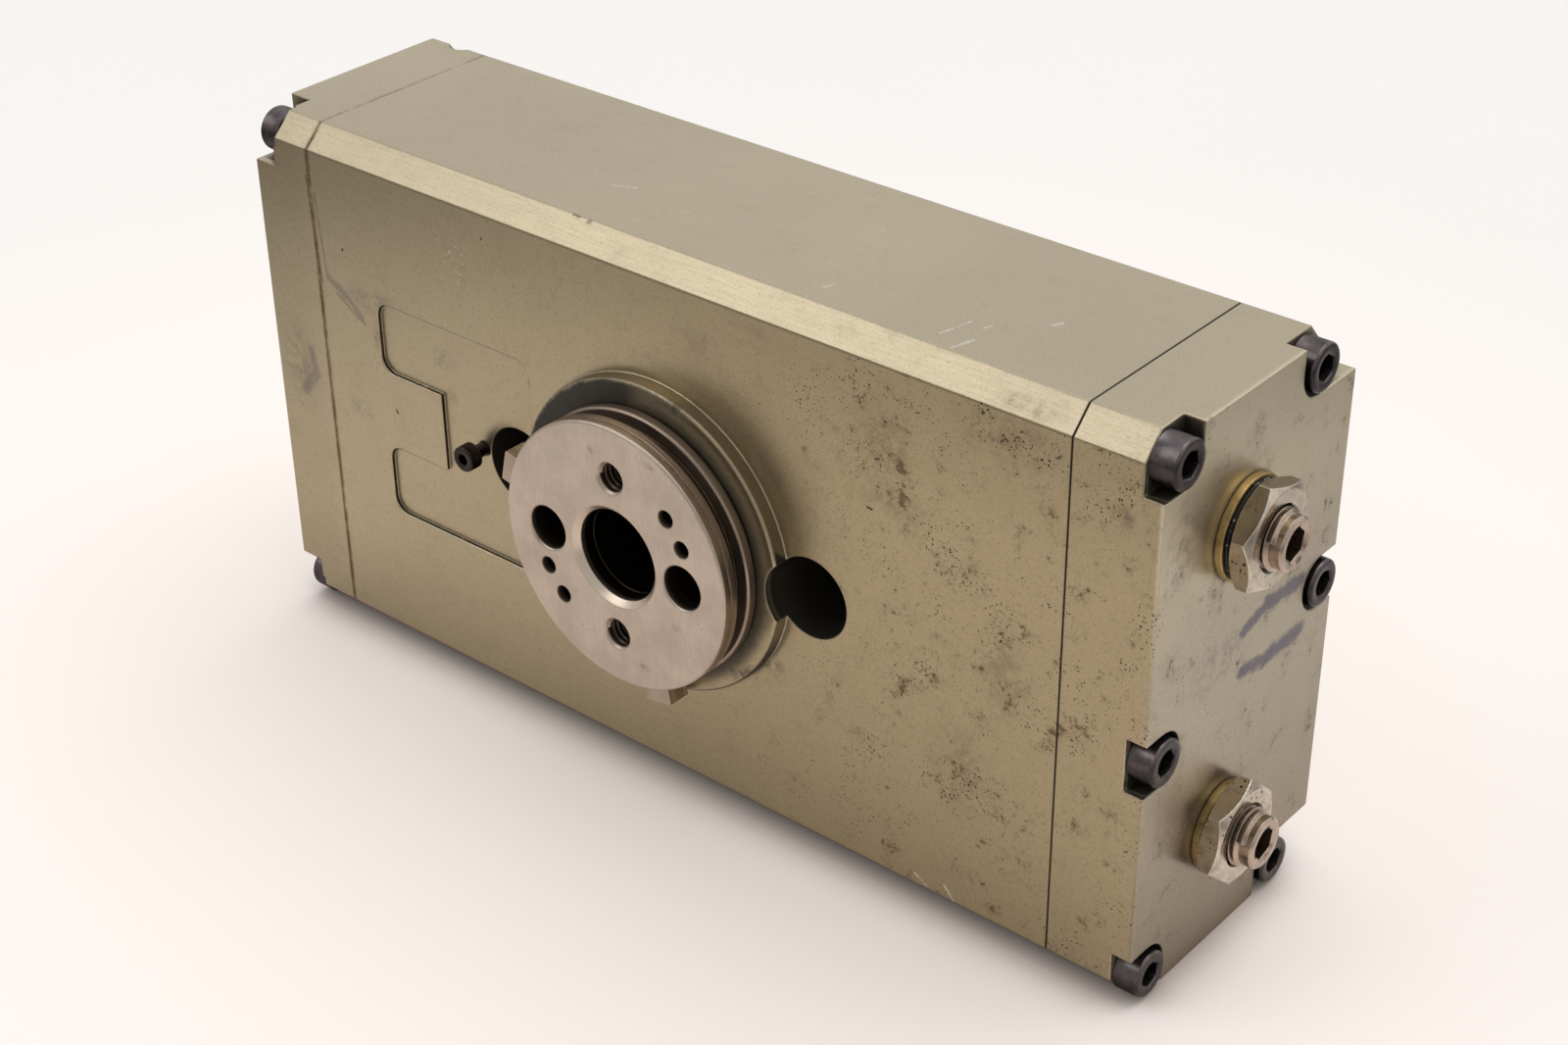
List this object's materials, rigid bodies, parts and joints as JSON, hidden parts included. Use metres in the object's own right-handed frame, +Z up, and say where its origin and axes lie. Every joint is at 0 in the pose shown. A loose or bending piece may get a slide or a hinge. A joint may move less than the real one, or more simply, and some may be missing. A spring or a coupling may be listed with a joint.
{
  "type": "rotary actuator",
  "caption": "Pneumatic rotary actuator: racks in parallel cylinders turn a pinion and a slim hollow output flange between adjustable end stops.",
  "frame": {"origin": "centre of the output flange's front face, on the output axis", "axes": "+Z up; +X along the housing towards the stop screws; -Y out of the flange"},
  "size_m": [0.1981, 0.0628, 0.1],
  "materials": {
    "anodised_aluminium": "satin hard-anodised, olive grey, worn and stained",
    "ground_steel": "ground, slightly tarnished",
    "black_screws": "black oxide",
    "black_rubber": "matt",
    "guide_plastic": "bronze-filled, matt",
    "nickel_nuts": "nickel-plated, pitted",
    "zinc_washers": "yellow zinc",
    "brass": "machined",
    "stop_screw_steel": "darkened, bright on its worn rim",
    "hardened_steel": "ground"
  },
  "bodies": {
    "housing": {"main_body": "anodised_aluminium", "left_end_cap": "anodised_aluminium", "right_end_cap": "anodised_aluminium", "left_cap_screws": "black_screws", "right_cap_screws": "black_screws", "cap_seal_rings": "black_rubber", "front_bearing_outer_ring": "hardened_steel", "front_bearing_balls": "hardened_steel", "front_bearing_cage": "brass", "rear_bearing_outer_ring": "hardened_steel", "rear_bearing_balls": "hardened_steel", "rear_bearing_cage": "brass", "shaft_seal": "black_rubber", "rear_cover": "anodised_aluminium", "rear_cover_screws": "black_screws", "rear_cover_seal": "black_rubber", "upper_lock_nut": "nickel_nuts", "lower_lock_nut": "nickel_nuts", "upper_sealing_washer": "zinc_washers", "lower_sealing_washer": "zinc_washers", "upper_nut_seal": "black_rubber", "sensor_clamp_screw": "black_screws"},
    "output": {"output_shaft": "ground_steel", "drive_key": "hardened_steel", "pinion": "hardened_steel", "front_spacer": "hardened_steel", "rear_spacer": "hardened_steel", "shaft_retaining_ring": "hardened_steel", "front_bearing_inner_ring": "hardened_steel", "rear_bearing_inner_ring": "hardened_steel", "left_switch_lug": "ground_steel", "lower_switch_lug": "ground_steel", "lug_set_screws": "black_screws"},
    "upper_rack": {"upper_rack": "hardened_steel", "upper_rack_seals": "black_rubber", "upper_rack_wear_bands": "guide_plastic"},
    "lower_rack": {"lower_rack": "hardened_steel", "lower_rack_seals": "black_rubber", "lower_rack_wear_bands": "guide_plastic"},
    "upper_stop_pad": {"upper_stop_pad": "brass"},
    "upper_stop_screw": {"upper_stop_screw": "stop_screw_steel"},
    "lower_stop_pad": {"lower_stop_pad": "brass"},
    "lower_stop_screw": {"lower_stop_screw": "stop_screw_steel"}
  },
  "joints": [
    {"name": "upper_rack_slide", "type": "slide", "parent": "housing", "child": "upper_rack", "axis": [-1, 0, 0], "range_m": [0, 0.02827]},
    {"name": "output_turn", "type": "hinge", "parent": "housing", "child": "output", "pos_m": [0, 0, 0], "axis": [0, -1, 0], "range_deg": [0, 90]},
    {"name": "lower_rack_slide", "type": "slide", "parent": "housing", "child": "lower_rack", "axis": [1, 0, 0], "range_m": [0, 0.0283]},
    {"name": "upper_stop_slide", "type": "slide", "parent": "housing", "child": "upper_stop_pad", "axis": [1, 0, 0], "range_m": [0, 0.005]},
    {"name": "upper_stop_turn", "type": "hinge", "parent": "upper_stop_pad", "child": "upper_stop_screw", "pos_m": [0.09, 0.0335, 0.027], "axis": [1, 0, 0], "range_deg": [0, 1800]},
    {"name": "lower_stop_slide", "type": "slide", "parent": "housing", "child": "lower_stop_pad", "axis": [1, 0, 0], "range_m": [0, 0.005]},
    {"name": "lower_stop_turn", "type": "hinge", "parent": "lower_stop_pad", "child": "lower_stop_screw", "pos_m": [0.09, 0.0335, -0.027], "axis": [1, 0, 0], "range_deg": [0, 1800]}
  ],
  "couplings": [
    {"joint": "output_turn", "follows": "upper_rack_slide", "rad_per_m": 55.556},
    {"joint": "lower_rack_slide", "follows": "upper_rack_slide", "ratio": 1},
    {"joint": "upper_stop_slide", "follows": "upper_stop_turn", "m_per_rad": 0.00015915},
    {"joint": "lower_stop_slide", "follows": "lower_stop_turn", "m_per_rad": 0.00015915}
  ]
}
